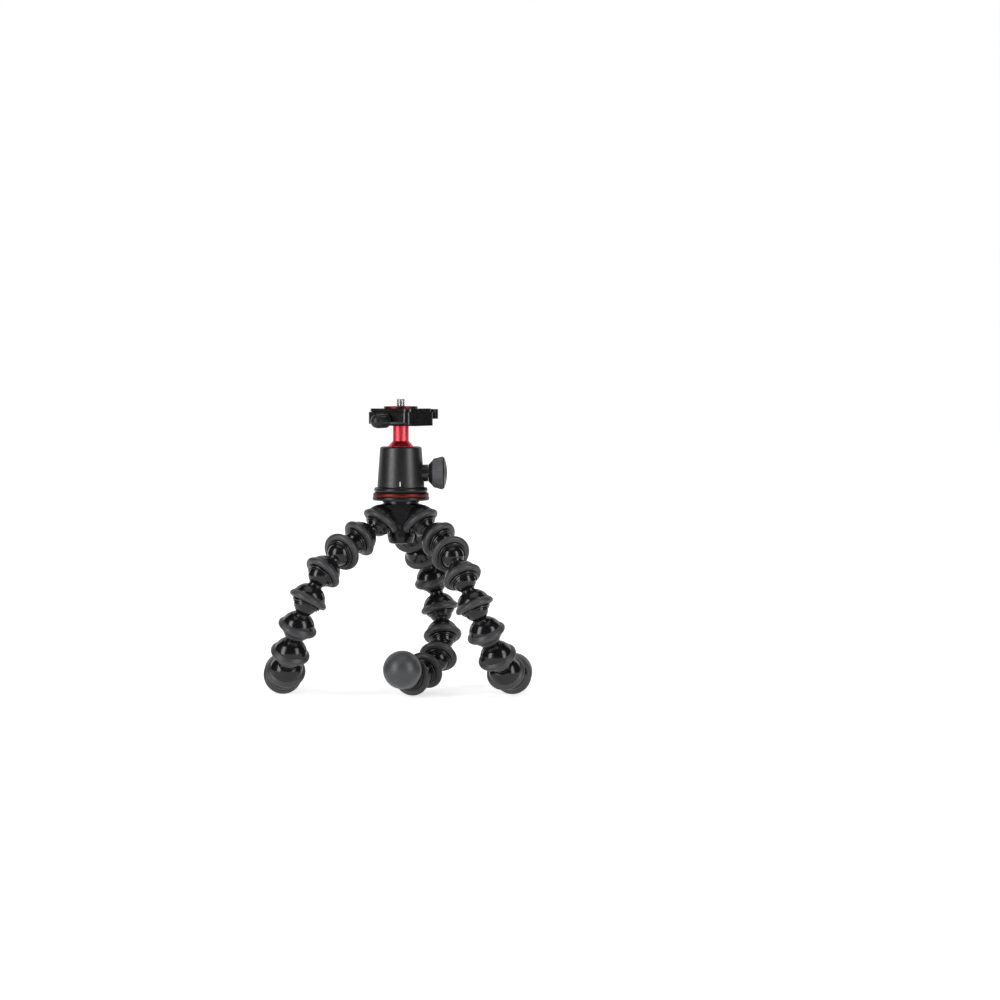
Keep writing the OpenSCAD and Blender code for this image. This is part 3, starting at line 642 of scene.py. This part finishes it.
@dataclass
class Legs:
    """Three legs of eight ball and socket links with rubber rings, each ending in a rubber foot.

    Heights are measured along a link from the middle of its own ball.
    """

    names: tuple[str, ...] = ("left", "right", "back")
    links: int = 8
    pitch: float = 23.0
    ball: float = 9.0
    ball_flat: float = -7.0
    ball_rim: float = 4.6
    neck: float = 5.1
    neck_low: float = 7.9
    collar: float = 5.9
    collar_low: float = 9.0
    dome: float = 12.6
    dome_middle: float = 20.2
    dome_low: float = 9.6
    dome_edge: float = 12.05
    seat: float = 11.0
    seat_low: float = 16.8
    seat_high: float = 22.1
    groove: float = 10.3
    lip: float = 9.9
    lip_height: float = 23.4
    lip_round: float = 1.0
    lip_drop: float = 0.75
    skirt: float = 9.9
    skirt_rim: float = 9.55
    skirt_mouth: float = 8.84
    skirt_end: float = 25.4
    socket: float = 9.15
    ring_middle: float = 19.7
    ring_half: float = 2.85
    ring_inner: float = 11.05
    ring_foot: float = 12.3
    ring_shoulder: float = 13.75
    ring_shoulder_drop: float = 1.3
    ring_tip: float = 12.2
    ring_tip_round: float = 2.3
    ring_tip_rise: float = 0.4
    pad: float = 14.2
    pad_middle: float = 20.0
    pad_back: float = 12.5
    pad_hole: float = 6.45
    pad_lip: float = 7.4
    pad_lip_back: float = 0.2
    pad_dish: tuple[float, float] = (8.2, 10.2)
    pad_dish_deep: float = 0.9
    pad_rim: float = 10.9
    pad_bead: float = 0.28
    pad_bead_high: float = 0.95
    core: float = 6.4
    core_low: float = 10.2
    core_high: float = 10.6
    core_flange: float = 8.4
    core_step: float = 16.0
    core_end: float = 21.0
    core_gap: float = 0.05

    def build(self) -> None:
        """Builds every link, ring, foot and pad and dresses it."""
        link_mesh = turned_mesh("leg_link", self._link_outline())
        ring_mesh = self.ring_mesh()
        foot_mesh = turned_mesh("foot_core", self._foot_outline())
        pad_mesh = turned_mesh("foot_pad", self._pad_outline(), segments=96)
        spots = joint_spots()
        for leg in self.names:
            for k in range(1, self.links + 1):
                spot = spots[f"{leg}_bend_{k}"]
                axis = spots[f"{leg}_bend_{k + 1}"] - spot
                body = f"{leg}_link_{k}"
                dress(placed(f"{body}_shell", link_mesh, spot, axis), GLOSS_BLACK, body, body)
                dress(placed(f"{body}_grip", ring_mesh, spot, axis), GRIP_RUBBER, body)
            spot = spots[f"{leg}_bend_{self.links + 1}"]
            low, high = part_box(f"{leg}_foot_pad")
            body = f"{leg}_foot"
            axis = (low + high) / 2.0 - spot
            dress(placed(f"{body}_core", foot_mesh, spot, axis), GLOSS_BLACK, body, body)
            dress(placed(f"{body}_rubber", pad_mesh, spot, axis), FOOT_RUBBER, body, f"{body}_pad")

    def ring_mesh(self) -> bpy.types.Mesh:
        """Makes the mesh of one rubber ring, in the frame of its link.

        Returns:
            The mesh, shared by the links and the hub's sockets.
        """
        middle, half = self.ring_middle, self.ring_half
        outline = Outline()
        outline.to(self.ring_inner, middle - half)
        outline.to(self.ring_foot, middle - half, 0.5)
        outline.to(self.ring_shoulder, middle - self.ring_shoulder_drop, 1.4)
        tip = middle + self.ring_tip_rise
        outline.arc(self.ring_tip, tip, self.ring_tip_round, -22.0, 84.0, 14)
        outline.to(self.ring_tip - 0.3, middle + half - 0.1, 0.3)
        outline.to(self.ring_inner, middle + half)
        return turned_mesh("grip_ring", outline, ring=True, segments=84)

    def _ball_outline(self) -> Outline:
        """Draws the ball, the stalk and the small collar at the start of a link or foot.

        Returns:
            The outline, open at its upper end.
        """
        start = math.degrees(math.asin(self.ball_flat / self.ball))
        stop = math.degrees(math.acos(self.neck / self.ball))
        outline = Outline().to(0.0, self.ball_flat).to(self.ball_rim, self.ball_flat, 0.5)
        outline.arc(0.0, 0.0, self.ball, start + 4.0, stop - 3.0, 30)
        outline.to(self.neck, self.neck_low, 0.6).to(self.neck, self.collar_low, 0.3)
        return outline.to(self.collar, self.collar_low, 0.35)

    def _link_outline(self) -> Outline:
        """Draws one link from its ball to the inside of its socket.

        Returns:
            The outline, from axis to axis.
        """
        outline = self._ball_outline()
        begin = math.degrees(math.asin((self.dome_low - self.dome_middle) / self.dome))
        finish = math.degrees(math.asin((self.seat_low - self.dome_middle) / self.dome))
        outline.to(self.collar, self.dome_low + 0.2, 0.2)
        outline.arc(0.0, self.dome_middle, self.dome, begin + 1.0, finish - 0.8, 16)
        outline.to(self.dome_edge, self.seat_low, 0.3).to(self.seat, self.seat_low)
        outline.to(self.seat, self.seat_high).to(self.groove, self.seat_high)
        outline.to(self.groove, self.lip_height - self.lip_drop)
        outline.arc(self.lip, self.lip_height, self.lip_round, -40.0, 75.0, 10)
        outline.arc(0.0, self.pitch, self.skirt, 8.0, 13.0, 3)
        outline.to(self.skirt_rim, self.skirt_end, 0.2).to(self.skirt_mouth, self.skirt_end, 0.2)
        return outline.arc(0.0, self.pitch, self.socket, 14.0, -90.0, 26)

    def _foot_outline(self) -> Outline:
        """Draws the core of a foot, which the rubber pad covers.

        Returns:
            The outline, from axis to axis.
        """
        outline = self._ball_outline()
        outline.to(self.collar, self.core_low, 0.2).to(self.core, self.core_high, 0.3)
        outline.to(self.core, self.core_step)
        outline.to(self.core_flange, self.core_step).to(self.core_flange, self.core_end)
        return outline.to(0.0, self.core_end)

    def _pad_outline(self) -> Outline:
        """Draws the domed pad with the thin bead round its back edge.

        Returns:
            The outline, from axis to axis.
        """
        back = math.degrees(math.asin((self.pad_back - self.pad_middle) / self.pad))
        edge = self.pad * math.cos(math.radians(back))
        hollow, floor = self.core_flange + self.core_gap, self.core_end + self.core_gap
        step = self.core_step - self.core_gap
        lip, dish = self.pad_back + self.pad_lip_back, self.pad_back + self.pad_dish_deep
        outline = Outline().to(0.0, floor).to(hollow, floor).to(hollow, step)
        outline.to(self.pad_hole, step).to(self.pad_hole, lip, 0.3).to(self.pad_lip, lip, 0.5)
        outline.to(self.pad_dish[0], dish, 0.6).to(self.pad_dish[1], dish, 0.5)
        outline.to(self.pad_rim, self.pad_back, 0.4).to(edge + 0.05, self.pad_back, 0.45)
        outline.to(edge + self.pad_bead, self.pad_back + self.pad_bead_high, 0.3)
        return outline.arc(0.0, self.pad_middle, self.pad, back + 6.0, 90.0, 36)


@dataclass
class Hub:
    """The hub with three sockets, their rubber rings and the cap underneath."""

    lean: float = 36.0
    azimuths: tuple[float, ...] = (210.0, 330.0, 90.0)
    ring_back: float = 23.0

    def build(self, legs: Legs) -> None:
        """Dresses the hub and rings its sockets.

        Args:
            legs: The legs, whose ring the sockets share.
        """
        keep("hub_body", HUB_BLACK, 0.25)
        keep("hub_base_cap", HUB_BLACK, 0.2)
        keep("head_stud", STEEL)
        mesh = legs.ring_mesh()
        spots = joint_spots()
        for leg, azimuth in zip(legs.names, self.azimuths):
            out, down = math.sin(math.radians(self.lean)), -math.cos(math.radians(self.lean))
            turn = math.radians(azimuth)
            axis = Vector((out * math.cos(turn), out * math.sin(turn), down))
            spot = spots[f"{leg}_bend_1"] - axis * self.ring_back * MM
            ring = placed(f"hub_{leg}_socket_grip", mesh, spot, axis)
            dress(ring, GRIP_RUBBER, "hub", *(("hub_grip_rings",) if leg == legs.names[0] else ()))


@dataclass
class BallHead:
    """The panning ball head with its lock knobs.

    The index line's sizes are those of the groove that it fills in the housing.
    """

    housing: float = 17.5
    housing_straight: float = 2.5
    housing_slope: float = 0.073
    index_half: float = 0.42
    index_low: float = 1.03
    index_high: float = 4.37
    index_floor: float = 17.21
    index_proud: float = 0.02
    index_steps: int = 6

    def build(self) -> None:
        """Dresses the pan, the housing, the ball and the knobs."""
        dress(self._index_line(), WHITE_PAINT, "head")
        keep("pan_base", PAN_BLACK, 0.2)
        keep("pan_trim_ring", RED_TRIM_TONE_AND_SHADE, 0.15)
        # The trim ring's darker red is partly painted shade.
        keep("pan_disc", PAN_BLACK)
        keep("pan_bolt", STEEL)
        keep("head_housing", SATIN_BLACK, 0.12)
        keep("ball_collar", SATIN_BLACK, 0.15)
        keep("ball_seat", SEAT_POLYMER)
        keep("ball_stem", RED_STEM, 0.3)
        keep("lock_knob", KNOB_PLASTIC, 0.3)
        keep("lock_knob_grip", KNOB_RUBBER, 0.1)
        keep("lock_screw", STEEL)
        keep("lock_shoe", STEEL)
        keep("pan_lock_knob", KNOB_PLASTIC, 0.15)

    def _index_line(self) -> bpy.types.Object:
        """Fills the index groove with paint that follows the housing's round and taper.

        Returns:
            The painted line, as thick as one coat of paint over the housing's surface.
        """
        axis = joint_spots()["pan_turn"]
        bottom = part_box("head_housing")[0].z
        shape = bmesh.new()
        rows = []
        for i in range(self.index_steps + 1):
            height = self.index_low + (self.index_high - self.index_low) * i / self.index_steps
            reach = self.housing - self.housing_slope * max(0.0, height - self.housing_straight)
            row = []
            for k in range(self.index_steps + 1):
                x = self.index_half * (2.0 * k / self.index_steps - 1.0)
                y = -math.sqrt(reach ** 2 - x ** 2) - self.index_proud
                row.append((shape.verts.new((x * MM, y * MM, height * MM)),
                            shape.verts.new((x * MM, -self.index_floor * MM, height * MM))))
            rows.append(row)
        for side in (0, 1):
            for low, high in zip(rows, rows[1:]):
                for k in range(self.index_steps):
                    corners = (low[k], low[k + 1], high[k + 1], high[k])
                    shape.faces.new([corner[side] for corner in corners])
        rim = rows[0] + [row[-1] for row in rows[1:]]
        rim += rows[-1][-2::-1] + [row[0] for row in rows[-2:0:-1]]
        for first, second in zip(rim, rim[1:] + rim[:1]):
            shape.faces.new((first[0], second[0], second[1], first[1]))
        bmesh.ops.recalc_face_normals(shape, faces=shape.faces)
        mesh = finished_mesh(shape, "index_line")
        return placed("index_line", mesh, Vector((axis.x, axis.y, bottom)))


@dataclass
class Clamp:
    """The quick release clamp with its jaw, knob and level.

    The level's heights are measured up from the floor of its recess.
    """

    level: float = 2.55
    cup_floor: float = 0.3
    fluid: float = 2.3
    fluid_top: float = 1.75
    mark: float = 1.3
    mark_width: float = 0.16
    mark_height: float = 0.04
    bubble: float = 0.8
    bubble_height: float = 0.16
    cover_low: float = 1.8
    cover_edge: float = 2.15
    cover_top: float = 2.4
    cover_wall: float = 0.28
    gap: float = 0.02

    def build(self) -> None:
        """Dresses the clamp."""
        keep("clamp_base", CLAMP_BLACK, 0.35)
        keep("clamp_jaw", CLAMP_BLACK, 0.35)
        keep("clamp_bolt", STEEL, 0.1)
        self._level()
        keep("guide_pins", STEEL)
        keep("clamp_knob", KNOB_PLASTIC, 0.12)
        keep("clamp_screw", STEEL)

    def _level(self) -> None:
        """Builds the round level: a cup, green fluid, a ring mark, a bubble and a clear cover."""
        spot, _ = stand("bubble_level")
        wall, floor = self.fluid + self.gap, self.cup_floor + self.gap
        top = self.fluid_top - self.gap
        cup = Outline().to(0.0, 0.0).to(self.level, 0.0, 0.15).to(self.level, self.fluid_top, 0.06)
        cup.to(wall, self.fluid_top, 0.06).to(wall, self.cup_floor).to(0.0, self.cup_floor)
        fluid = Outline().to(0.0, floor).to(self.fluid, floor)
        fluid.to(self.fluid, top, 0.05).to(0.0, top)
        base = self.fluid_top - self.gap / 2.0
        inner, upper = self.mark - self.mark_width, base + self.mark_height
        mark = Outline().to(inner, base).to(self.mark, base).to(self.mark, upper).to(inner, upper)
        crown = base + self.bubble_height
        bubble = Outline().to(0.0, base).to(self.bubble, base)
        bubble.to(self.bubble * 0.86, base + self.bubble_height * 0.6, 0.1)
        bubble.to(self.bubble * 0.45, crown, 0.2).to(0.0, crown)
        cover = Outline().to(self.level, self.cover_low).to(self.level, self.cover_edge, 0.12)
        cover.to(self.level * 0.6, self.cover_top - 0.06, 0.6).to(0.0, self.cover_top)
        inside = self.cover_top - self.cover_wall
        cover.to(0.0, inside).to(self.level * 0.6, inside - 0.05, 0.6)
        cover.to(self.level - self.cover_wall, self.cover_low)
        pieces = (("level_cup", cup, False, LEVEL_CUP), ("level_fluid", fluid, False, LEVEL_FLUID),
                  ("level_mark", mark, True, LEVEL_MARK),
                  ("level_bubble", bubble, False, LEVEL_BUBBLE),
                  ("level_cover", cover, True, LEVEL_GLASS))
        for name, outline, ring, finish in pieces:
            piece = placed(name, turned_mesh(name, outline, ring=ring), spot)
            dress(piece, finish, "ball", *(("bubble_level",) if outline is cup else ()))


@dataclass
class Plate:
    """The quick release plate with its red ring, rubber pad and camera screw.

    The screw's heights are measured up from the underside of its head, the pad's from the plate.
    """

    pad: float = 10.25
    pad_hole: float = 3.475
    pad_groove: float = 1.25
    pad_groove_depth: float = 0.22
    pad_groove_half: float = 0.3
    pad_edge: float = 1.0
    pad_land: float = 1.4
    head: float = 7.0
    head_height: float = 2.4
    neck: float = 2.725
    screw: float = 3.175
    thread_low: float = 7.3
    thread_run_in: float = 0.1
    thread_pitch: float = 1.27
    thread_depth: float = 0.62
    thread_half: float = 0.42
    thread_chamfer: float = 1.2
    thread_rows: int = 60
    nearly: float = 0.01

    def build(self) -> None:
        """Dresses the plate."""
        keep("quick_release_plate", CLAMP_BLACK, 0.3)
        # The plate ring's darker red is partly painted shade.
        keep("plate_ring", RED_TRIM_TONE_AND_SHADE, 0.15)
        self._pad()
        self._camera_screw()

    def _pad(self) -> None:
        """Builds the rubber pad with its round grooves, which keep the load from turning."""
        spot, top = stand("plate_pad")
        outline = Outline().to(self.pad_hole, 0.0).to(self.pad, 0.0).to(self.pad, top, 0.25)
        radius = self.pad - self.pad_edge
        while radius > self.pad_hole + self.pad_land:
            outline.to(radius, top, 0.12)
            outline.to(radius - self.pad_groove_half, top - self.pad_groove_depth, 0.12)
            outline.to(radius - 2.0 * self.pad_groove_half, top, 0.12)
            radius -= self.pad_groove
        outline.to(self.pad_hole, top, 0.2)
        mesh = turned_mesh("plate_pad_grooved", outline, segments=96, ring=True)
        dress(placed("plate_pad_grooved", mesh, spot), PAD_RUBBER, "plate", "plate_pad")

    def _camera_screw(self) -> None:
        """Builds the captive screw with its helical thread."""
        spot, tip = stand("camera_screw")
        outline = Outline().to(0.0, 0.0).to(self.head, 0.0, 0.3)
        outline.to(self.head, self.head_height, 0.3).to(self.neck, self.head_height, 0.3)
        outline.to(self.neck, self.thread_low - self.thread_run_in)
        for k in range(self.thread_rows + 1):
            outline.to(self.screw, self.thread_low + (tip - self.thread_low) * k / self.thread_rows)
        outline.to(0.0, tip)

        def thread(radius: float, height: float, angle: float) -> float:
            """Cuts the helical groove and the chamfers at both ends of the thread.

            Args:
                radius: Radius of the plain screw.
                height: Height on the screw.
                angle: Angle round the screw.

            Returns:
                The radius of the threaded screw.
            """
            if abs(radius - self.screw) > self.nearly or height < self.thread_low - self.nearly:
                return radius
            turns = (height / self.thread_pitch - angle / math.tau) % 1.0
            groove = max(0.0, 1.0 - abs(turns - 0.5) / self.thread_half) * self.thread_depth
            ends = min(height - self.thread_low, tip - height)
            return min(radius - groove, self.neck + max(0.0, ends) * self.thread_chamfer)

        mesh = turned_mesh("camera_screw_threaded", outline, segments=96, relief=thread)
        dress(placed("camera_screw_threaded", mesh, spot), STEEL, "camera_screw", "camera_screw")


@dataclass
class SoftBox:
    """One large soft lamp.

    Attributes:
        name: Name of the lamp.
        azimuth: Direction in degrees, from straight ahead of the object to its right.
        height: Angle above the floor in degrees.
        width: Width in metres.
        tall: Height in metres.
        power: Power in watts.
        distance: Distance from the object in metres.
    """

    name: str
    azimuth: float
    height: float
    width: float
    tall: float
    power: float
    distance: float = 1.3

    def build(self, target: Vector) -> None:
        """Sets the lamp up.

        Args:
            target: The point that the lamp faces.
        """
        lamp = bpy.data.lights.new(self.name, "AREA")
        lamp.shape = "RECTANGLE"
        lamp.size = self.width
        lamp.size_y = self.tall
        lamp.energy = self.power
        holder = linked(self.name, lamp)
        turn, rise = math.radians(self.azimuth), math.radians(self.height)
        level = math.cos(rise)
        away = Vector((math.sin(turn) * level, -math.cos(turn) * level, math.sin(rise)))
        holder.location = target + away * self.distance
        holder.rotation_euler = (-away).to_track_quat("-Z", "Y").to_euler()


@dataclass
class Drapes:
    """Dark drapes round the front and sides of the studio, open behind the object.

    They are what the gloss of the black pieces has to show beside the soft boxes, so they hang
    close in front and at the sides, and stand back where the boxes are.

    Attributes:
        bays: Angle from straight ahead in degrees, and distance in metres, of each bend on a side.
        tall: Height of the drapes in metres.
        colour: Colour of the cloth, linear.
    """

    bays: tuple[tuple[float, float], ...] = ((0.0, 1.02), (31.0, 1.1), (33.0, 1.9), (70.0, 1.9),
                                             (72.0, 1.1), (115.0, 1.1), (117.0, 1.9), (156.0, 2.4))
    tall: float = 2.4
    colour: tuple[float, ...] = (0.03, 0.03, 0.031, 1.0)

    def build(self) -> None:
        """Hangs the drapes and the dark ceiling over them."""
        shape = bmesh.new()
        top = shape.verts.new((0.0, 0.0, self.tall))
        rows = []
        for turn, reach in [(-turn, reach) for turn, reach in self.bays[:0:-1]] + list(self.bays):
            x, y = reach * math.sin(math.radians(turn)), -reach * math.cos(math.radians(turn))
            rows.append((shape.verts.new((x, y, 0.0)), shape.verts.new((x, y, self.tall))))
        for (low, high), (next_low, next_high) in zip(rows, rows[1:]):
            shape.faces.new((low, next_low, next_high, high))
            shape.faces.new((high, next_high, top))
        mesh = finished_mesh(shape, "dark_drapes")
        drapes = linked("dark_drapes", mesh)
        drapes.visible_camera = False
        cloth = bpy.data.materials.new("dark_drape_cloth")
        cloth.use_nodes = True
        shader = NodeGraph(cloth.node_tree).find("BSDF_PRINCIPLED")
        shader.inputs["Base Color"].default_value = self.colour
        shader.inputs["Roughness"].default_value = 1.0
        shader.inputs["Specular IOR Level"].default_value = 0.0
        mesh.materials.append(cloth)


@dataclass
class Studio:
    """The pale floor, the white surroundings, the soft lamps and the camera."""

    ambient: float = 0.3
    floor_glow: float = 0.62
    floor_half: float = 6.0
    floor_colour: tuple[float, ...] = (0.9, 0.9, 0.9, 1.0)
    centre_height: float = 0.11
    floor_lit: tuple[float, float] = (0.5, 0.85)
    camera_side: float = 73.9
    camera_distance: float = 2.0
    camera_rise: float = 3.0
    picture: float = 1000.0
    focal: float = 2680.0
    sensor: float = 36.0
    boxes: tuple[SoftBox, ...] = (
        SoftBox("left_soft_box", -47.0, 16.0, 0.5, 1.15, 14.0),
        SoftBox("right_soft_box", 51.0, 16.0, 0.46, 1.15, 10.5),
        SoftBox("top_soft_box", 0.0, 80.0, 1.0, 1.0, 4.0),
        SoftBox("left_back_box", -136.0, 22.0, 0.5, 1.0, 2.6),
        SoftBox("right_back_box", 136.0, 22.0, 0.5, 1.0, 2.6),
    )

    def build(self) -> None:
        """Sets up the whole studio."""
        self._surroundings()
        self._floor()
        Drapes().build()
        centre = UP * self.centre_height
        for box in self.boxes:
            box.build(centre)
        self._camera()
        bpy.context.scene.view_settings.view_transform = "Standard"

    def _seen(self, graph: NodeGraph) -> bpy.types.NodeSocket:
        """Says whether a ray shows the background itself, in the picture, in gloss or in glass.

        Args:
            graph: Node graph of the background's material.

        Returns:
            One for such a ray, and zero for any other.
        """
        path = graph.add("ShaderNodeLightPath")
        first = graph.add("ShaderNodeMath", operation="MAXIMUM")
        graph.join(path.outputs["Is Camera Ray"], first.inputs[0])
        graph.join(path.outputs["Is Glossy Ray"], first.inputs[1])
        both = graph.add("ShaderNodeMath", operation="MAXIMUM")
        graph.join(first.outputs[0], both.inputs[0])
        graph.join(path.outputs["Is Transmission Ray"], both.inputs[1])
        return both.outputs[0]

    def _surroundings(self) -> None:
        """Makes the surroundings white to look at and dimmer as light."""
        world = bpy.data.worlds.new("white_studio")
        bpy.context.scene.world = world
        world.use_nodes = True
        graph = NodeGraph(world.node_tree)
        background = graph.find("BACKGROUND")
        background.inputs["Color"].default_value = WHITE
        level = graph.stretch(self._seen(graph), (0.0, 1.0), (self.ambient, 1.0))
        graph.join(level, background.inputs["Strength"])

    def _floor(self) -> None:
        """Lays the pale floor, which keeps the soft shadow under the object."""
        mesh = bpy.data.meshes.new("floor")
        half = self.floor_half
        corners = [(-half, -half, 0), (half, -half, 0), (half, half, 0), (-half, half, 0)]
        mesh.from_pydata(corners, [], [(0, 1, 2, 3)])
        floor = linked("floor", mesh)
        paint = bpy.data.materials.new("pale_floor")
        paint.use_nodes = True
        graph = NodeGraph(paint.node_tree)
        shader = graph.find("BSDF_PRINCIPLED")
        shader.inputs["Base Color"].default_value = self.floor_colour
        shader.inputs["Roughness"].default_value = 1.0
        shader.inputs["Specular IOR Level"].default_value = 0.0
        shader.inputs["Emission Color"].default_value = WHITE
        place = graph.add("ShaderNodeTexCoord")
        away = graph.add("ShaderNodeVectorMath", operation="LENGTH")
        graph.join(place.outputs["Object"], away.inputs[0])
        paler = graph.stretch(away.outputs["Value"], self.floor_lit, (self.floor_glow, 1.0))
        glow = graph.add("ShaderNodeMath", operation="MULTIPLY")
        graph.join(self._seen(graph), glow.inputs[0])
        graph.join(paler, glow.inputs[1])
        graph.join(glow.outputs[0], shader.inputs["Emission Strength"])
        mesh.materials.append(paint)

    def _camera(self) -> None:
        """Sets the camera at the picture's own angle and framing."""
        pan = joint_spots()["pan_turn"]
        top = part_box("hub_body")[1].z
        target = Vector((pan.x + self.camera_side * MM, pan.y, top))
        rise = math.radians(self.camera_rise)
        back = Vector((0.0, -math.cos(rise), math.sin(rise)))
        lens = bpy.data.cameras.new("camera")
        lens.sensor_width = self.sensor
        lens.lens = self.focal / self.picture * self.sensor
        holder = linked("camera", lens)
        holder.location = target + back * self.camera_distance
        holder.rotation_euler = (-back).to_track_quat("-Z", "Y").to_euler()
        bpy.context.scene.camera = holder


def main() -> None:
    """Builds the studio and the dressed tripod, piece by piece."""
    logging.basicConfig(level=logging.INFO, format="%(name)s: %(message)s")
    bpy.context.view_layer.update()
    Studio().build()
    legs = Legs()
    legs.build()
    Hub().build(legs)
    BallHead().build()
    Clamp().build()
    Plate().build()


if __name__ == "__main__":
    main()
